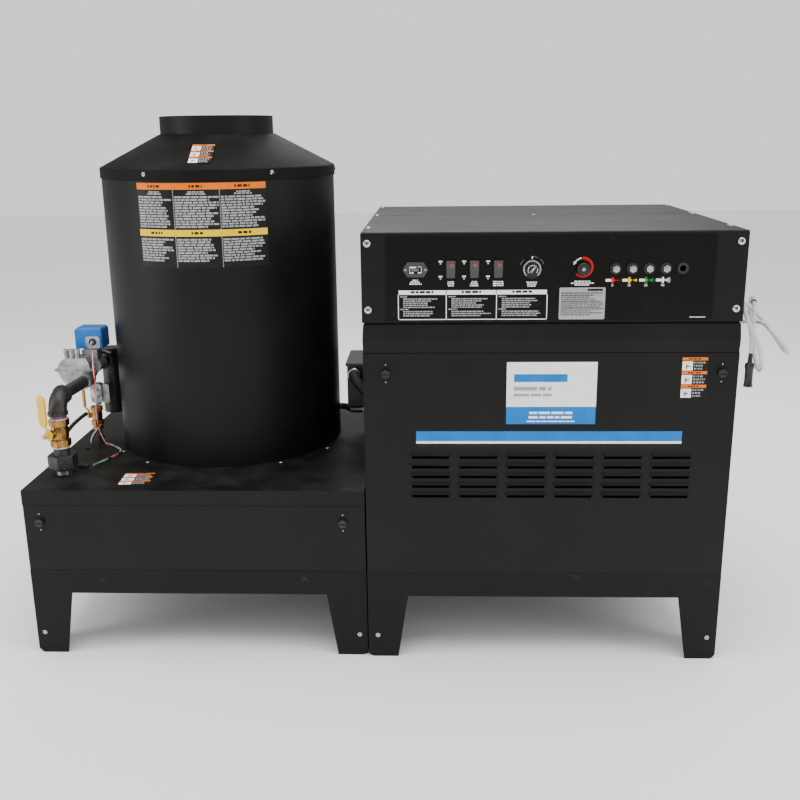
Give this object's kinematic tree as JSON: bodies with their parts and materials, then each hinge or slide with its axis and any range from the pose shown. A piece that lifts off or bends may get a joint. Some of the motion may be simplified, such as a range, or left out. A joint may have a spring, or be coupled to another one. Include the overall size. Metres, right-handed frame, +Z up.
{
  "type": "stationary hot-water pressure washer",
  "caption": "Stationary hot-water pressure washer: a gas water heater with a flue collar beside a louvred pump cabinet topped by a control box, both on tapered sheet legs.",
  "frame": {"origin": "on the floor under the centre of the bounding box", "axes": "+X towards the pump cabinet, -Y the front with the controls, +Z up"},
  "size_m": [1.8727, 0.8358, 1.348],
  "materials": {
    "powder_coat": "satin black powder coat",
    "stand_coat": "satin black powder coat",
    "gloss_black": "glossy printed overlay",
    "black_plastic": "satin",
    "rubber": "matt",
    "black_iron": "black malleable iron",
    "brass": "cast and machined",
    "cast_aluminium": "die cast",
    "bright_steel": "machined",
    "yellow_grip": "dipped vinyl over steel",
    "blue_plastic": "moulded",
    "lead_insulation": "insulated wire",
    "ceramic_blanket": "fibre blanket",
    "motor_paint": "enamel",
    "clear_vinyl": "clear vinyl"
  },
  "bodies": {
    "machine": {"heater_stand": "stand_coat", "pump_stand": "stand_coat", "heater_wrap": "powder_coat", "heater_deck": "powder_coat", "burner_tray": "stand_coat", "boiler_shell": "powder_coat", "boiler_hood": "powder_coat", "flue_collar": "powder_coat", "heating_coil": "black_iron", "coil_insulation": "ceramic_blanket", "burner_manifold": "black_iron", "gas_union": "black_iron", "inlet_ball_valve": "brass", "gas_elbow": "black_iron", "gas_pipe": "black_iron", "gas_valve_body": "cast_aluminium", "gas_valve_actuator": "blue_plastic", "burner_gas_pipe": "black_iron", "pilot_regulator": "cast_aluminium", "pilot_ball_valve": "brass", "valve_leads": "lead_insulation", "deck_conduit": "rubber", "cabinet_left_side": "powder_coat", "cabinet_right_side": "powder_coat", "cabinet_rear_panel": "powder_coat", "cabinet_header": "powder_coat", "control_box": "powder_coat", "control_panel": "gloss_black", "box_lid_front": "powder_coat", "box_lid_rear": "powder_coat", "hour_meter": "black_plastic", "nozzle_holders": "rubber", "motor": "motor_paint", "pump": "cast_aluminium", "drive_belt": "rubber", "float_tank": "black_plastic", "suction_hose": "rubber", "pressure_hose": "rubber", "detergent_hose": "clear_vinyl", "detergent_strainer": "black_plastic"},
    "heater_panel": {"heater_front_panel": "powder_coat"},
    "heater_latch_left": {"heater_latch_left": "black_plastic"},
    "heater_latch_right": {"heater_latch_right": "black_plastic"},
    "pump_panel": {"front_panel": "powder_coat"},
    "panel_latch_left": {"panel_latch_left": "black_plastic"},
    "panel_latch_right": {"panel_latch_right": "black_plastic"},
    "side_latch": {"side_latch_right": "black_plastic"},
    "inlet_lever": {"inlet_valve_lever": "yellow_grip"},
    "pilot_lever": {"pilot_valve_lever": "yellow_grip"},
    "burner_rocker": {"burner_switch": "black_plastic"},
    "pump_rocker": {"pump_switch": "black_plastic"},
    "power_rocker": {"power_switch": "black_plastic"},
    "thermostat": {"thermostat_knob": "black_plastic"},
    "metering": {"metering_knob": "black_plastic"},
    "nozzle_0": {"nozzle_0_degree": "bright_steel"},
    "nozzle_15": {"nozzle_15_degree": "bright_steel"},
    "nozzle_25": {"nozzle_25_degree": "bright_steel"},
    "nozzle_40": {"nozzle_40_degree": "bright_steel"},
    "motor_pulley": {"motor_pulley": "black_iron"},
    "pump_pulley": {"pump_pulley": "black_iron"}
  },
  "joints": [
    {"name": "heater_panel_lift_off", "type": "slide", "parent": "machine", "child": "heater_panel", "axis": [0, -1, 0], "range_m": [0, 0.2]},
    {"name": "pump_panel_lift_off", "type": "slide", "parent": "machine", "child": "pump_panel", "axis": [0, -1, 0], "range_m": [0, 0.3]},
    {"name": "heater_latch_left_turn", "type": "hinge", "parent": "heater_panel", "child": "heater_latch_left", "pos_m": [-0.83615, -0.39035, 0.365], "axis": [0, 1, 0], "range_deg": [0, 90]},
    {"name": "heater_latch_right_turn", "type": "hinge", "parent": "heater_panel", "child": "heater_latch_right", "pos_m": [-0.07215, -0.39035, 0.365], "axis": [0, 1, 0], "range_deg": [0, 90]},
    {"name": "panel_latch_left_turn", "type": "hinge", "parent": "pump_panel", "child": "panel_latch_left", "pos_m": [0.04085, -0.39635, 0.749], "axis": [0, 1, 0], "range_deg": [0, 90]},
    {"name": "panel_latch_right_turn", "type": "hinge", "parent": "pump_panel", "child": "panel_latch_right", "pos_m": [0.82885, -0.39635, 0.749], "axis": [0, 1, 0], "range_deg": [0, 90]},
    {"name": "side_latch_turn", "type": "hinge", "parent": "machine", "child": "side_latch", "pos_m": [0.86685, -0.33435, 0.756], "axis": [1, 0, 0], "range_deg": [0, 90]},
    {"name": "inlet_valve_close", "type": "hinge", "parent": "machine", "child": "inlet_lever", "pos_m": [-0.81015, -0.26835, 0.5635], "axis": [-0.5, -0.866, 0], "range_deg": [0, 90]},
    {"name": "pilot_valve_close", "type": "hinge", "parent": "machine", "child": "pilot_lever", "pos_m": [-0.81215, 0.01365, 0.527], "axis": [-1, 0, 0], "range_deg": [0, 90]},
    {"name": "burner_rocker_press", "type": "hinge", "parent": "machine", "child": "burner_rocker", "pos_m": [0.19425, -0.39815, 0.995], "axis": [-1, 0, 0], "range_deg": [0, 20]},
    {"name": "pump_rocker_press", "type": "hinge", "parent": "machine", "child": "pump_rocker", "pos_m": [0.24839, -0.39815, 0.995], "axis": [-1, 0, 0], "range_deg": [0, 20]},
    {"name": "power_rocker_press", "type": "hinge", "parent": "machine", "child": "power_rocker", "pos_m": [0.30329, -0.39815, 0.995], "axis": [-1, 0, 0], "range_deg": [0, 20]},
    {"name": "thermostat_turn", "type": "hinge", "parent": "machine", "child": "thermostat", "pos_m": [0.37999, -0.39815, 0.995], "axis": [0, 1, 0], "range_deg": [0, 270]},
    {"name": "metering_turn", "type": "hinge", "parent": "machine", "child": "metering", "pos_m": [0.4958, -0.39815, 0.995], "axis": [0, 1, 0], "range_deg": [0, 300]},
    {"name": "nozzle_0_pull", "type": "slide", "parent": "machine", "child": "nozzle_0", "axis": [0, -1, 0], "range_m": [0, 0.06]},
    {"name": "nozzle_15_pull", "type": "slide", "parent": "machine", "child": "nozzle_15", "axis": [0, -1, 0], "range_m": [0, 0.06]},
    {"name": "nozzle_25_pull", "type": "slide", "parent": "machine", "child": "nozzle_25", "axis": [0, -1, 0], "range_m": [0, 0.06]},
    {"name": "nozzle_40_pull", "type": "slide", "parent": "machine", "child": "nozzle_40", "axis": [0, -1, 0], "range_m": [0, 0.06]},
    {"name": "motor_spin", "type": "hinge", "parent": "machine", "child": "motor_pulley", "pos_m": [0.28685, -0.14635, 0.3473], "axis": [0, -1, 0], "continuous": true},
    {"name": "pump_spin", "type": "hinge", "parent": "machine", "child": "pump_pulley", "pos_m": [0.62685, -0.14635, 0.3603], "axis": [0, -1, 0], "continuous": true}
  ],
  "couplings": [
    {"joint": "motor_spin", "follows": "pump_spin", "ratio": 2.0192}
  ]
}
